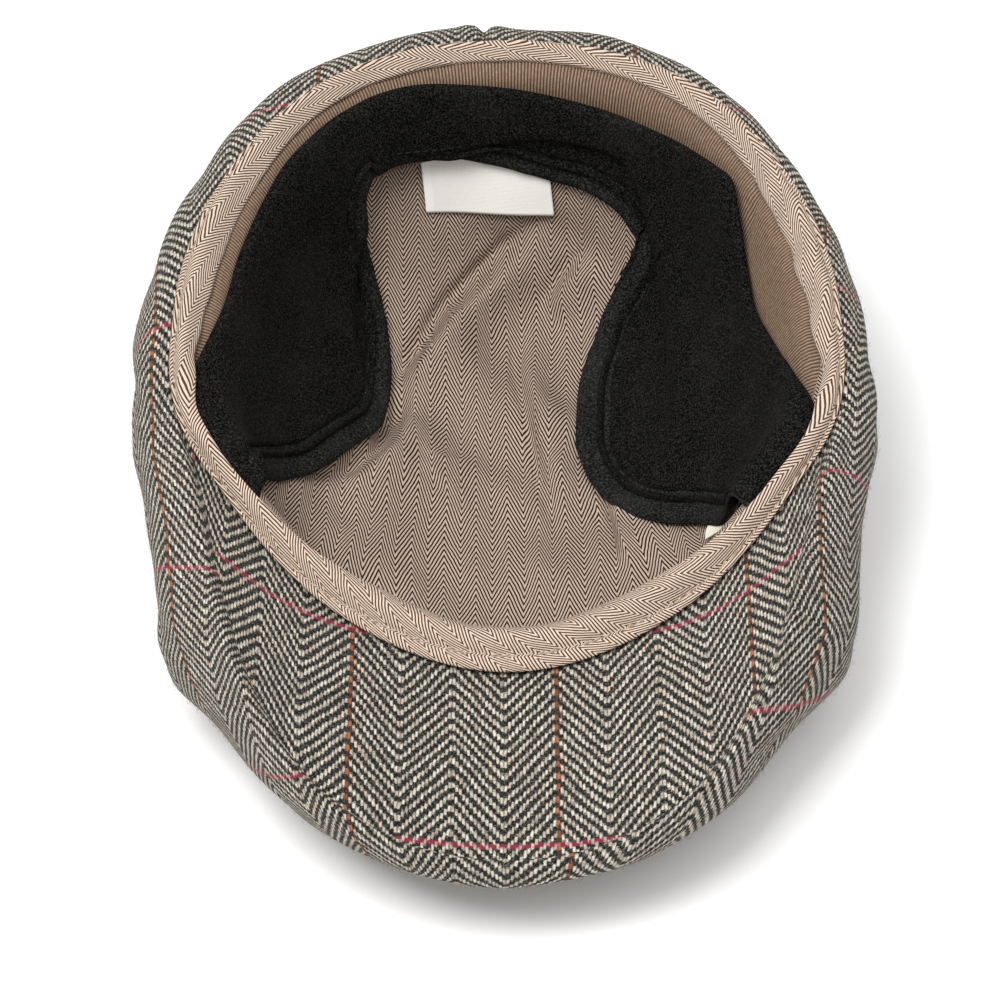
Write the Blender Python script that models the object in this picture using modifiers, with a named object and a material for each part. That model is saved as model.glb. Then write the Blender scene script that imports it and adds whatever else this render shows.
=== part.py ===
"""Flat cap with folding ear flaps, lying upside down on its crown.

Metres, +Z up, the peak towards -Y. The crown's flat lies on z = 0, and the opening for the head faces up.
Loops around the cap are read by their turn about the opening's axis: 0 at the centre back, 90 beside the
wearer's temple on +X, 180 at the centre front. The main form is the same on both sides.
"""

import math

import bpy
import numpy as np

# Opening and rest
HEAD_HALF_WIDTH = 0.090  # axis of the opening to the seam beside it
RIM_HEIGHT = 0.091  # seam at the centre back, above what the crown lies on
RIM_DROP = 0.052  # how much lower the seam is at the centre front
FLAT_HALF_WIDTH = 0.062  # the crown's flat that the cap lies on
FLAT_HALF_LENGTH = 0.068
FLAT_FORWARD = 0.018  # its middle, forward of the opening's axis

# Crown
CROWN_CLOTH = 0.0018  # tweed and its interlining
CROWN_FULLNESS = 0.020  # reach of the cloth past the seam, beside and behind

# Peak
PEAK_LENGTH = 0.061  # seam to edge at the centre front
PEAK_THICKNESS = 0.0042  # board between two cloths
PEAK_TUCK = 0.004  # what lies under the headband
PEAK_START = 106.0  # turn of its corners
CORNER_RUN = 8.0  # turn over which the crown's edge leaves the opening for the peak's edge
PEAK_ROUNDING = 0.0013  # of its edges
PEAK_EDGE_ANGLE = 50.0  # faces that meet at more than this are rounded

# Headband
BAND_WIDTH = 0.014
BAND_CLOTH = 0.0015

# Lining
LINING_CLOTH = 0.0010
LINING_REST = 0.0020  # clearance of its lowest part from the crown's cloth under it

# Grosgrain ribbon, which lies over the headband's foot
RIBBON_CLOTH = 0.0010
RIBBON_END = 118.0  # turn of its ends

# Ear flap, two felts sewn along their free edges
FELT = 0.0012
FLAP_HEM = 0.0070  # how far the lower felt shows past the upper one
UPPER_START, UPPER_END = 0.06, 0.94  # ends of the upper felt, as shares of the way across the lower one

# Label and size tag
LABEL_CLOTH = 0.0010
LABEL_WIDTH = 0.040
LABEL_TURN = -3.5  # of its middle
TAG_WIDTH = 0.010
TAG_TURN = 121.0

SEAM_GAP = 0.0003  # between pieces that are sewn together
LOFT = 0.0006  # between a felt or a patch and what it lies on

# How finely the cloths are divided
AROUND = 60
CROWN_ROWS = 10
LINING_ROWS = 12
FLAP_COLUMNS = 38
FLAP_ROWS = 8
HEM_SHARES = (1 / 3, 2 / 3, 1)
EDGE_SAMPLES = 400  # along the ear flap's free edge, to measure its hem from
DOWN_SAMPLES = 200

# Half steps that directions are measured over
TURN_STEP = 1.0
SHARE_STEP = 0.01

# Seam loop. Reach is a share of HEAD_HALF_WIDTH, lift of RIM_DROP.
SEAM = (
    # turn, reach, lift
    (0, 1.045, 1.000),
    (30, 1.050, 0.970),
    (60, 0.995, 0.885),
    (90, 0.990, 0.745),
    (103, 1.015, 0.640),
    (112, 1.016, 0.550),
    (125, 0.980, 0.375),
    (150, 0.983, 0.115),
    (180, 1.016, 0.000),
)

# Edge of the peak. Out is a share of PEAK_LENGTH past the seam, lift of RIM_DROP.
PEAK_EDGE = (
    # turn, out, lift
    (100, 0.01, 0.640),
    (112, 0.03, 0.540),
    (120, 0.11, 0.520),
    (130, 0.25, 0.450),
    (140, 0.44, 0.400),
    (150, 0.68, 0.320),
    (160, 0.90, 0.190),
    (170, 0.99, 0.060),
    (180, 1.00, 0.000),
)

# Cloth of the crown between its edge and its flat, as shares of CROWN_FULLNESS and of the edge's height.
CROWN_RIB = (
    # turn, out at the edge, drop at the edge, out at the flat
    (0, 2.20, 0.03, 3.60),
    (25, 2.10, 0.03, 3.40),
    (50, 1.55, 0.03, 2.90),
    (75, 1.20, 0.04, 2.40),
    (95, 1.10, 0.04, 2.05),
    (112, 1.05, 0.05, 1.95),
    (125, 1.10, 0.08, 2.30),
    (138, 1.15, 0.15, 2.90),
    (150, 0.65, 0.22, 2.40),
    (180, 0.32, 0.30, 2.00),
)

# Inner wall from the seam down to the lining's floor. The crest and the headband's foot are shares of
# BAND_WIDTH. The wall's middle and its heel lie in by shares of HEAD_HALF_WIDTH, and above the floor by
# shares of the seam's height over it.
WALL = (
    # turn, crest in, crest up, foot in, foot down, middle in, middle up, heel in, heel up
    (0, 0.12, 0.03, 0.50, 0.62, 0.130, 0.54, 0.31, 0.10),
    (45, 0.18, 0.06, 0.64, 0.62, 0.167, 0.55, 0.40, 0.13),
    (75, 0.28, 0.08, 0.80, 0.56, 0.245, 0.52, 0.50, 0.15),
    (105, 0.30, 0.14, 0.80, 0.42, 0.260, 0.49, 0.50, 0.17),
    (140, 0.42, 0.28, 0.86, 0.00, 0.170, 0.51, 0.33, 0.17),
    (180, 0.50, 0.36, 0.90, 0.00, 0.160, 0.53, 0.29, 0.17),
)
FLOOR_RING_SHARE = 0.25  # of HEAD_HALF_WIDTH

# Places along the inner wall, as shares of the way from the seam to the middle of the floor.
CREST, FOOT, MIDDLE, HEEL, FLOOR_RING = 0.06, 0.16, 0.42, 0.72, 0.88
LINING_START = 0.09
RIBBON_TOP, RIBBON_FOOT = 0.12, 0.37
FLAP_DOWN = 0.50  # below this the ear flap lies on the lining
LABEL_TOP, LABEL_FOOT = 0.33, 0.515
TAG_TOP, TAG_FOOT = 0.44, 0.54

# Soft folds that stand up from the lining's floor, in shares of HEAD_HALF_WIDTH from the opening's axis.
FOLDS = (
    # from x, from y, to x, to y, half width, lift
    (-0.10, 0.30, -0.42, -0.30, 0.16, 0.060),
    (0.16, 0.20, 0.10, -0.35, 0.12, 0.040),
)

# Ear flap from the front of the -X lobe, round the back, to the front of the +X lobe: turn and share of
# the wall where it hangs, and where its free edge lies.
FLAP = (
    # hung turn, hung share, free turn, free share
    (-123, 0.150, -122.0, 0.200),
    (-120, 0.130, -117.5, 0.330),
    (-114, 0.120, -111.0, 0.440),
    (-106, 0.110, -103.0, 0.570),
    (-97, 0.125, -90.0, 0.690),
    (-86, 0.170, -70.0, 0.750),
    (-75, 0.180, -50.0, 0.772),
    (-64, 0.180, -39.0, 0.755),
    (-54, 0.155, -32.5, 0.700),
    (-45, 0.145, -31.0, 0.610),
    (-37, 0.145, -31.0, 0.520),
    (-31, 0.145, -30.5, 0.410),
    (-26, 0.140, -27.0, 0.360),
    (-17, 0.145, -17.0, 0.385),
    (-5, 0.180, -5.0, 0.400),
    (8, 0.205, 7.0, 0.435),
    (18, 0.215, 17.0, 0.465),
    (26, 0.220, 24.0, 0.500),
    (31, 0.220, 29.5, 0.550),
    (36, 0.210, 27.5, 0.620),
    (42, 0.200, 25.5, 0.690),
    (48, 0.180, 25.0, 0.760),
    (54, 0.185, 32.0, 0.825),
    (60, 0.295, 54.0, 0.866),
    (66, 0.330, 79.0, 0.870),
    (76, 0.310, 100.0, 0.840),
    (88, 0.265, 112.0, 0.790),
    (100, 0.210, 117.0, 0.700),
    (109, 0.150, 118.5, 0.620),
    (117, 0.120, 121.0, 0.520),
    (123, 0.120, 124.5, 0.420),
    (127, 0.140, 127.5, 0.310),
    (129, 0.160, 129.0, 0.220),
)


def between(keys, values, at):
    """Smooth curve through the values at the keys; values has one row for all of at, or one for each."""
    keys = np.asarray(keys, float)
    at = np.asarray(at, float)
    i = np.clip(np.searchsorted(keys, at, side="right") - 1, 1, len(keys) - 3)
    values = np.broadcast_to(values, (*at.shape, len(keys)))
    v0, v1, v2, v3 = (np.take_along_axis(values, (i + k)[..., None], -1)[..., 0] for k in (-1, 0, 1, 2))
    k0, k1, k2, k3 = (keys[i + k] for k in (-1, 0, 1, 2))
    s = (at - k1) / (k2 - k1)
    leave = (v2 - v0) / (k2 - k0) * (k2 - k1)
    arrive = (v3 - v1) / (k3 - k1) * (k2 - k1)
    return (
        (2 * s**3 - 3 * s**2 + 1) * v1
        + (s**3 - 2 * s**2 + s) * leave
        + (3 * s**2 - 2 * s**3) * v2
        + (s**3 - s**2) * arrive
    )


def ease(start, end, at):
    """0 before start, 1 after end and level at both."""
    s = np.clip((at - start) / (end - start), 0, 1)
    return s * s * (3 - 2 * s)


def side_turn(turn):
    """Turn from the centre back, the same on both sides."""
    return np.abs((np.asarray(turn, float) + 180) % 360 - 180)


def columns(rows, turn):
    """Columns of a table at each turn, level across the centre back and the centre front."""
    keys, *values = np.array(rows, float).T
    at_back = keys[0] == 0
    before = -keys[1] if at_back else 2 * keys[0] - keys[1]
    keys = np.concatenate([[before], keys, [360 - keys[-2]]])
    ends = (np.concatenate([[v[1] if at_back else v[0]], v, [v[-2]]]) for v in values)
    return [between(keys, v, side_turn(turn)) for v in ends]


def place(turn, reach, height):
    """Point at a turn, at a distance from the opening's axis and at a height."""
    angle = np.radians(turn)
    return np.stack([reach * np.sin(angle), reach * np.cos(angle), height + 0 * angle], -1)


def seam(turn):
    """Seam around the opening, where the tweed meets the headband: reach and height."""
    reach, lift = columns(SEAM, turn)
    return reach * HEAD_HALF_WIDTH, RIM_HEIGHT - RIM_DROP + lift * RIM_DROP


def peak_edge(turn):
    """Edge of the peak's underside: reach and height."""
    out, lift = columns(PEAK_EDGE, turn)
    return seam(turn)[0] + out * PEAK_LENGTH, RIM_HEIGHT - RIM_DROP + lift * RIM_DROP


def under_band():
    """Depth of what lies behind the headband's cloth."""
    return -BAND_CLOTH - SEAM_GAP


def crown_edge(turn):
    """Edge of the crown's cloth: under the headband's edge, and in front around the peak's edge."""
    reach, height = seam(turn)
    height = height + under_band()
    front_reach, front_height = peak_edge(turn)
    front = ease(PEAK_START, PEAK_START + CORNER_RUN, side_turn(turn))
    return place(turn, reach + front * (front_reach - reach), height + front * (front_height - height))


def outwards(turn):
    """Level direction straight out of the crown's edge."""
    along = crown_edge(turn + TURN_STEP) - crown_edge(turn - TURN_STEP)
    out = np.stack([-along[..., 1], along[..., 0], 0 * along[..., 0]], -1)
    return out / np.linalg.norm(out, axis=-1, keepdims=True)


def flat_edge(turn):
    """Edge of the flat that the cap lies on."""
    angle = np.radians(turn)
    x = FLAT_HALF_WIDTH * np.sin(angle)
    y = FLAT_HALF_LENGTH * np.cos(angle) - FLAT_FORWARD
    return np.stack([x, y, 0 * x], -1)


def crown_face(turn, share):
    """Outer face of the crown between its edge, at share 0, and its flat, at share 1."""
    edge, flat, out = crown_edge(turn), flat_edge(turn), outwards(turn)
    swell, drop, foot = columns(CROWN_RIB, turn)
    upper = edge + out * (swell * CROWN_FULLNESS)[..., None]
    upper[..., 2] -= drop * edge[..., 2]
    lower = flat + out * (foot * CROWN_FULLNESS)[..., None]
    s = np.asarray(share, float)[..., None]
    return (1 - s) ** 3 * edge + 3 * s * (1 - s) ** 2 * upper + 3 * s**2 * (1 - s) * lower + s**3 * flat


def fold_lift(x, y):
    """How far the folds raise the lining's floor."""
    lift = 0
    for x0, y0, x1, y1, half_width, height in np.array(FOLDS) * HEAD_HALF_WIDTH:
        dx, dy = x1 - x0, y1 - y0
        along = np.clip(((x - x0) * dx + (y - y0) * dy) / (dx * dx + dy * dy), 0, 1)
        away = np.hypot(x - x0 - along * dx, y - y0 - along * dy)
        lift = lift + height * np.exp(-((away / half_width) ** 2))
    return lift


def wall(turn, share):
    """Inner wall, as the head meets it: share 0 at the seam, 1 in the middle of the lining's floor."""
    turn, share = np.broadcast_arrays(np.asarray(turn, float), np.asarray(share, float))
    reach, height = seam(turn)
    crest_in, crest_up, foot_in, foot_down, middle_in, middle_up, heel_in, heel_up = columns(WALL, turn)
    floor = CROWN_CLOTH + LINING_REST + LINING_CLOTH - under_band() + 0 * reach
    keys = (0, CREST, FOOT, MIDDLE, HEEL, FLOOR_RING, 1)
    reaches = [
        reach,
        reach - crest_in * BAND_WIDTH,
        reach - foot_in * BAND_WIDTH,
        reach - middle_in * HEAD_HALF_WIDTH,
        reach - heel_in * HEAD_HALF_WIDTH,
        FLOOR_RING_SHARE * HEAD_HALF_WIDTH + 0 * reach,
        0 * reach,
    ]
    heights = [
        height,
        height + crest_up * BAND_WIDTH,
        height - foot_down * BAND_WIDTH,
        floor + middle_up * (height - floor),
        floor + heel_up * (height - floor),
        floor,
        floor,
    ]
    keys = [-CREST, *keys, 2 - FLOOR_RING]
    reaches = np.stack([2 * reaches[0] - reaches[1], *reaches, -reaches[-2]], -1)
    heights = np.stack([2 * heights[0] - heights[1], *heights, floor], -1)
    point = place(turn, between(keys, reaches, share), between(keys, heights, share))
    point[..., 2] += ease(MIDDLE, HEEL, share) * fold_lift(point[..., 0], point[..., 1])
    return point


def layer(turn, share, depth):
    """The inner wall moved into the hollow by a depth, or out of it by a negative one."""
    turn, share, depth = np.broadcast_arrays(*(np.asarray(v, float) for v in (turn, share, depth)))
    around = wall(turn + TURN_STEP, share) - wall(turn - TURN_STEP, share)
    down = wall(turn, np.minimum(share + SHARE_STEP, 1)) - wall(turn, np.maximum(share - SHARE_STEP, 0))
    outward = np.cross(around, down)
    size = np.linalg.norm(outward, axis=-1, keepdims=True)
    outward = np.where(size > 0, outward / np.maximum(size, 1e-12), (0, 0, -1))
    return wall(turn, share) - outward * depth[..., None]


def flap_depth(share):
    """Depth of the ear flap's lower felt: over the ribbon, and lower down over the lining and its label."""
    over_ribbon = SEAM_GAP + RIBBON_CLOTH + LOFT
    over_lining = under_band() + LOFT + LABEL_CLOTH + LOFT
    return over_ribbon + ease(RIBBON_FOOT, FLAP_DOWN, share) * (over_lining - over_ribbon)


def flap_point(across, down, above):
    """Point of the ear flap, across it from the -X lobe's front and down from where it hangs."""
    rows = np.array(FLAP, float)
    count = len(rows)
    keys = np.arange(-1, count + 1)
    at = np.asarray(across, float) * (count - 1)
    ends = (np.concatenate([[2 * v[0] - v[1]], v, [2 * v[-1] - v[-2]]]) for v in rows.T)
    hung_turn, hung_share, free_turn, free_share = (between(keys, v, at) for v in ends)
    turn = hung_turn + down * (free_turn - hung_turn)
    share = hung_share + down * (free_share - hung_share)
    return layer(turn, share, flap_depth(share) + above)


def hem_line(across):
    """How far down the upper felt reaches, so that the lower one shows by FLAP_HEM past it."""
    edge = flap_point(np.linspace(0, 1, EDGE_SAMPLES), 1.0, 0)
    down = np.linspace(0, 1, DOWN_SAMPLES)
    found = []
    for a in across:
        line = flap_point(a, down, 0)
        clear = np.linalg.norm(line[:, None] - edge[None], axis=-1).min(1) - FLAP_HEM
        inside = np.nonzero(clear > 0)[0]
        last = min(inside[-1], DOWN_SAMPLES - 2)
        found.append(np.interp(0, [clear[last + 1], clear[last]], [down[last + 1], down[last]]))
    return np.array(found)


def new_material(name, colour, roughness):
    material = bpy.data.materials.new(name)
    material.use_nodes = True
    shader = material.node_tree.nodes["Principled BSDF"]
    shader.inputs["Base Color"].default_value = (*colour, 1)
    shader.inputs["Roughness"].default_value = roughness
    shader.inputs["Metallic"].default_value = 0
    return material


def sheet(name, rows, thickness, side, material, around=False, centre=None):
    """A cloth: rows of points skinned with quads and given a thickness on one side of them."""
    rows = np.asarray(rows)
    lines, across = rows.shape[:2]
    points = [tuple(p) for p in rows.reshape(-1, 3)]
    faces = []
    for r in range(lines - 1):
        for c in range(across if around else across - 1):
            d = (c + 1) % across
            faces.append((r * across + c, r * across + d, (r + 1) * across + d, (r + 1) * across + c))
    if centre is not None:
        points.append(tuple(centre))
        last = (lines - 1) * across
        for c in range(across):
            faces.append((last + c, last + (c + 1) % across, len(points) - 1))
    mesh = bpy.data.meshes.new(name)
    mesh.from_pydata(points, [], faces)
    mesh.materials.append(material)
    mesh.shade_smooth()
    thing = bpy.data.objects.new(name, mesh)
    cap.objects.link(thing)
    thing.parent = origin
    cloth = thing.modifiers.new("Cloth", "SOLIDIFY")
    cloth.thickness = thickness
    cloth.offset = side
    return thing


def make_crown(material):
    turns = np.arange(AROUND) * 360 / AROUND
    rows = [crown_face(turns, np.full(AROUND, s)) for s in np.linspace(0, 1, CROWN_ROWS)]
    flat = flat_edge(turns)
    middle = np.array([0, -FLAT_FORWARD, 0])
    rows += [middle + (flat - middle) * k for k in (2 / 3, 1 / 3)]
    sheet("crown", rows, CROWN_CLOTH, -1, material, around=True, centre=middle)


def make_peak(material):
    """The board and its cloths, flat under the headband and climbing from there to the peak's edge."""
    turns = np.linspace(PEAK_START, 360 - PEAK_START, AROUND // 2)
    reach, height = seam(turns)
    height = height + under_band()
    edge_reach, edge_height = peak_edge(turns)
    start = reach - PEAK_TUCK
    end = edge_reach - (CROWN_CLOTH + SEAM_GAP) * math.sqrt(2)
    bend = np.minimum(reach, (start + end) / 2)
    rows = [place(turns, start, height)]
    for s in (0, 1 / 3, 2 / 3, 1):
        at = bend + s * (end - bend)
        climb = np.maximum(at - reach, 0) / (edge_reach - reach)
        rows.append(place(turns, at, height + climb * (edge_height - height)))
    peak = sheet("peak", rows, PEAK_THICKNESS, -1, material)
    edges = peak.modifiers.new("Rounded edges", "BEVEL")
    edges.width = PEAK_ROUNDING
    edges.segments = 2
    edges.limit_method = "ANGLE"
    edges.angle_limit = math.radians(PEAK_EDGE_ANGLE)


def make_headband(material):
    turns = np.arange(AROUND) * 360 / AROUND
    rows = [layer(turns, s, 0) for s in np.linspace(0, FOOT, 5)]
    sheet("headband", rows, BAND_CLOTH, 1, material, around=True)


def make_lining(material):
    turns = np.arange(AROUND) * 360 / AROUND
    rows = [layer(turns, s, under_band()) for s in np.linspace(LINING_START, 1, LINING_ROWS)[:-1]]
    sheet("lining", rows, LINING_CLOTH, 1, material, around=True, centre=layer(0, 1, under_band()))


def make_ribbon(material):
    turns = np.arange(-AROUND // 2, AROUND // 2) * 360 / AROUND
    turns = [-RIBBON_END, *turns[np.abs(turns) < RIBBON_END - 1], RIBBON_END]
    shares = [RIBBON_TOP, *np.linspace(FOOT, RIBBON_FOOT, 4)]
    rows = [layer(turns, s, SEAM_GAP + RIBBON_CLOTH) for s in shares]
    sheet("grosgrain_ribbon", rows, RIBBON_CLOTH, 1, material)


def make_ear_flap(lower_material, upper_material):
    """The upper felt, and the lower one that shows past it as a hem. They are divided alike."""
    across = np.linspace(UPPER_START, UPPER_END, FLAP_COLUMNS)
    reach = hem_line(across)
    shares = np.linspace(0, 1, FLAP_ROWS)
    rows = [flap_point(across, s * reach, FELT + LOFT + FELT) for s in shares]
    sheet("ear_flap_upper_felt", rows, FELT, 1, upper_material)
    across = np.array([0, UPPER_START / 2, *across, (1 + UPPER_END) / 2, 1])
    reach = np.pad(reach, 2, mode="edge")
    rows = [flap_point(across, s * reach, FELT) for s in shares]
    rows += [flap_point(across, reach + s * (1 - reach), FELT) for s in HEM_SHARES]
    sheet("ear_flap_lower_felt", rows, FELT, 1, lower_material)


def make_patch(name, turn, width, top, foot, material):
    """A small woven patch that lies on the lining."""
    face = under_band() + LOFT + LABEL_CLOTH
    reach = np.hypot(*layer(turn, (top + foot) / 2, face)[:2])
    half_turn = math.degrees(width / 2 / reach)
    turns = turn + half_turn * np.linspace(-1, 1, 5)
    rows = [layer(turns, s, face) for s in np.linspace(top, foot, 4)]
    sheet(name, rows, LABEL_CLOTH, 1, material)


for old in list(bpy.data.objects):
    bpy.data.objects.remove(old)

cap = bpy.data.collections.new("flat_cap")
bpy.context.scene.collection.children.link(cap)
origin = bpy.data.objects.new("flat_cap_origin", None)
cap.objects.link(origin)

tweed = new_material("tweed", (0.14, 0.13, 0.11), 0.95)
peak_tweed = new_material("peak_tweed", (0.15, 0.14, 0.12), 0.95)
headband_cotton = new_material("headband_cotton", (0.62, 0.50, 0.38), 0.9)
lining_cotton = new_material("lining_cotton", (0.45, 0.34, 0.26), 0.9)
grosgrain = new_material("grosgrain", (0.48, 0.36, 0.26), 0.85)
lower_felt = new_material("lower_felt", (0.012, 0.012, 0.012), 1)
upper_felt = new_material("upper_felt", (0.018, 0.018, 0.018), 1)
label_satin = new_material("label_satin", (0.75, 0.73, 0.68), 0.6)
tag_satin = new_material("tag_satin", (0.80, 0.76, 0.66), 0.6)

make_crown(tweed)
make_peak(peak_tweed)
make_headband(headband_cotton)
make_lining(lining_cotton)
make_ribbon(grosgrain)
make_ear_flap(lower_felt, upper_felt)
make_patch("label", LABEL_TURN, LABEL_WIDTH, LABEL_TOP, LABEL_FOOT, label_satin)
make_patch("size_tag", TAG_TURN, TAG_WIDTH, TAG_TOP, TAG_FOOT, tag_satin)

# The origin is under the middle of the whole cap, whose ends are the crown's at the front and at the back.
ends = crown_face(np.array([[0.0], [180.0]]), np.linspace(0, 1, CROWN_ROWS)[None, :])[..., 1]
origin.location = (0, -(ends.max() + ends.min()) / 2, 0)
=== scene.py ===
"""Looks of a tweed flat cap that lies upside down on its crown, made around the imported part.

Metres, in the part's frame: +Z up, the peak towards -Y, the crown's flat on z = 0. Loops around the cap are
read by their turn about the opening's axis: 0 at the centre back, 90 on +X, 180 at the centre front. Weave
coordinates, kept in the UV map "Weave", are in millimetres.
"""

import math

import bpy
import numpy as np
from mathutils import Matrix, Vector


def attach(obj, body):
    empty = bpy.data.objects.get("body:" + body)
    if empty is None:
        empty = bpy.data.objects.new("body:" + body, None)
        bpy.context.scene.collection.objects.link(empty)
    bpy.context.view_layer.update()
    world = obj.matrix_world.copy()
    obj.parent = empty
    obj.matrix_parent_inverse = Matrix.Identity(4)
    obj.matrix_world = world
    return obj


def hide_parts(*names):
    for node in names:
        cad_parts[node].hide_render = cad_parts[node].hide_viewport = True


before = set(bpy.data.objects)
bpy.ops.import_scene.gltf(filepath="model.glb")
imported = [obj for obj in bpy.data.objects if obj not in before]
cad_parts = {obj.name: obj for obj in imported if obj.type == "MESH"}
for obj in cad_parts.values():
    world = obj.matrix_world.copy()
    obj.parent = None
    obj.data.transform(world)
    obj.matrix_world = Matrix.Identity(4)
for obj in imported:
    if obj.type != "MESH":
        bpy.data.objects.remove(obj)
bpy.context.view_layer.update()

# The part's own sizes
HEAD_HALF_WIDTH = 0.090
RIM_HEIGHT = 0.091
RIM_DROP = 0.052
FLAT_HALF_WIDTH = 0.062
FLAT_HALF_LENGTH = 0.068
FLAT_FORWARD = 0.018
CROWN_CLOTH = 0.0018
CROWN_FULLNESS = 0.020
CROWN_ROWS = 10
PEAK_LENGTH = 0.061
PEAK_THICKNESS = 0.0042
PEAK_TUCK = 0.004
PEAK_START = 106.0
CORNER_RUN = 8.0
BAND_WIDTH = 0.014
BAND_CLOTH = 0.0015
LINING_CLOTH = 0.0010
LINING_REST = 0.0020
RIBBON_CLOTH = 0.0010
RIBBON_END = 118.0
FELT = 0.0012
LABEL_CLOTH = 0.0010
SEAM_GAP = 0.0003
UNDER_BAND = -BAND_CLOTH - SEAM_GAP  # depth of what lies behind the headband
LOFT = 0.0006
EDGE_SAMPLES = 700
DOWN_SAMPLES = 160
TURN_STEP = 1.0
SHARE_STEP = 0.01

# Where the lining and the upper felt begin and end, so that no end shows
LINING_START, LINING_END = 0.06, 0.985
LINING_CLEAR = 0.0012  # over the crown's cloth at least
UPPER_START, UPPER_END = 0.01, 0.99

# Thickness of each cloth in this scene, thinner than the part's so that folds have room
TWEED_SKIN = 0.0012
PEAK_SKIN = PEAK_THICKNESS * 0.8
BAND_SKIN = 0.0008
LINING_SKIN = 0.0006
RIBBON_SKIN = 0.0005
UPPER_SKIN = 0.0008
LOWER_SKIN = 0.0009
PATCH_SKIN = 0.0005

# Seam loop. Reach is a share of HEAD_HALF_WIDTH, lift of RIM_DROP.
SEAM = (
    # turn, reach, lift
    (0, 1.045, 1.000),
    (30, 1.050, 0.970),
    (60, 0.995, 0.885),
    (90, 0.990, 0.745),
    (103, 1.015, 0.640),
    (112, 1.016, 0.550),
    (125, 0.980, 0.375),
    (150, 0.983, 0.115),
    (180, 1.016, 0.000),
)

# Edge of the peak. Out is a share of PEAK_LENGTH past the seam, lift of RIM_DROP.
PEAK_EDGE = (
    # turn, out, lift
    (100, 0.01, 0.640),
    (112, 0.03, 0.540),
    (120, 0.11, 0.520),
    (130, 0.25, 0.450),
    (140, 0.44, 0.400),
    (150, 0.68, 0.320),
    (160, 0.90, 0.190),
    (170, 0.99, 0.060),
    (180, 1.00, 0.000),
)

# Cloth of the crown between its edge and its flat, as shares of CROWN_FULLNESS and of the edge's height.
CROWN_RIB = (
    # turn, out at the edge, drop at the edge, out at the flat
    (0, 2.20, 0.03, 3.60),
    (25, 2.10, 0.03, 3.40),
    (50, 1.55, 0.03, 2.90),
    (75, 1.20, 0.04, 2.40),
    (95, 1.10, 0.04, 2.05),
    (112, 1.05, 0.05, 1.95),
    (125, 1.10, 0.08, 2.30),
    (138, 1.15, 0.15, 2.90),
    (150, 0.65, 0.22, 2.40),
    (180, 0.32, 0.30, 2.00),
)

# Inner wall from the seam down to the lining's floor. The crest and the headband's foot are shares of
# BAND_WIDTH. The wall's middle and its heel lie in by shares of HEAD_HALF_WIDTH, and above the floor by
# shares of the seam's height over it.
WALL = (
    # turn, crest in, crest up, foot in, foot down, middle in, middle up, heel in, heel up
    (0, 0.12, 0.03, 0.50, 0.62, 0.130, 0.54, 0.31, 0.10),
    (45, 0.18, 0.06, 0.64, 0.62, 0.167, 0.55, 0.40, 0.13),
    (75, 0.28, 0.08, 0.80, 0.56, 0.245, 0.52, 0.50, 0.15),
    (105, 0.30, 0.14, 0.80, 0.42, 0.260, 0.49, 0.50, 0.17),
    (140, 0.42, 0.28, 0.86, 0.00, 0.170, 0.51, 0.33, 0.17),
    (180, 0.50, 0.36, 0.90, 0.00, 0.160, 0.53, 0.29, 0.17),
)
FLOOR_RING_SHARE = 0.25  # of HEAD_HALF_WIDTH

# Places along the inner wall, as shares of the way from the seam to the middle of the floor.
CREST, FOOT, MIDDLE, HEEL, FLOOR_RING = 0.06, 0.16, 0.42, 0.72, 0.88
RIBBON_TOP, RIBBON_SHOWN, RIBBON_FOOT = 0.09, 0.105, 0.37
FLAP_DOWN = 0.50

# Broad folds that stand up from the lining's floor, in shares of HEAD_HALF_WIDTH from the opening's axis.
FOLDS = (
    # from x, from y, to x, to y, half width, lift
    (-0.10, 0.30, -0.42, -0.30, 0.16, 0.060),
    (0.16, 0.20, 0.10, -0.35, 0.12, 0.040),
)

# Lower lip of the headband, as a share of the wall.
BAND_LIP = (
    # turn, share
    (0, 0.113),
    (30, 0.116),
    (60, 0.126),
    (80, 0.124),
    (95, 0.106),
    (103, 0.088),
    (112, 0.070),
    (125, 0.068),
    (138, 0.086),
    (150, 0.116),
    (165, 0.150),
    (180, 0.160),
)

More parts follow.
